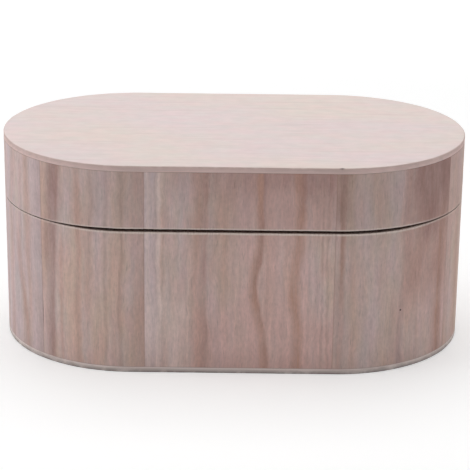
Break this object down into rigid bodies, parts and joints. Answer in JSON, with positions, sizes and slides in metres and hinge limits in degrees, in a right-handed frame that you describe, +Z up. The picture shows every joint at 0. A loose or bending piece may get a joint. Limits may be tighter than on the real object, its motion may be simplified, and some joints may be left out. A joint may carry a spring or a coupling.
{
  "type": "wooden box",
  "caption": "Oval wooden storage box with straight sides, half-round ends and a hinged lid, glued up from upright staves between thin panels.",
  "frame": {"origin": "middle of the underside of the bottom panel, on the surface that the box stands on", "axes": "+X along the box to the right seen from the front, -Y towards the front, +Z up"},
  "size_m": [0.16, 0.0941, 0.073],
  "materials": {
    "stave_wood": "bare sanded wood, read as paulownia, upright grain",
    "panel_wood": "bare sanded pale veneer, grain along the box",
    "hinge_brass": "plated, satin",
    "screw_brass": "plated, satin",
    "magnet_nickel": "nickel plated"
  },
  "bodies": {
    "base": {"base_bottom_panel": "panel_wood", "base_front_board": "stave_wood", "base_back_board": "stave_wood", "base_left_front_stave": "stave_wood", "base_left_tip_stave": "stave_wood", "base_left_back_stave": "stave_wood", "base_right_front_stave": "stave_wood", "base_right_tip_stave": "stave_wood", "base_right_back_stave": "stave_wood", "left_hinge_base_leaf": "hinge_brass", "right_hinge_base_leaf": "hinge_brass", "left_hinge_pin": "hinge_brass", "right_hinge_pin": "hinge_brass", "base_hinge_screws": "screw_brass", "base_magnet": "magnet_nickel"},
    "lid": {"lid_top_panel": "panel_wood", "lid_front_board": "stave_wood", "lid_back_board": "stave_wood", "lid_left_front_stave": "stave_wood", "lid_left_tip_stave": "stave_wood", "lid_left_back_stave": "stave_wood", "lid_right_front_stave": "stave_wood", "lid_right_tip_stave": "stave_wood", "lid_right_back_stave": "stave_wood", "left_hinge_lid_leaf": "hinge_brass", "right_hinge_lid_leaf": "hinge_brass", "lid_hinge_screws": "screw_brass", "lid_magnet": "magnet_nickel"}
  },
  "joints": [
    {"name": "lid_hinge", "type": "hinge", "parent": "base", "child": "lid", "pos_m": [0, 0.04715, 0.0507], "axis": [-1, 0, 0], "range_deg": [0, 180]}
  ]
}
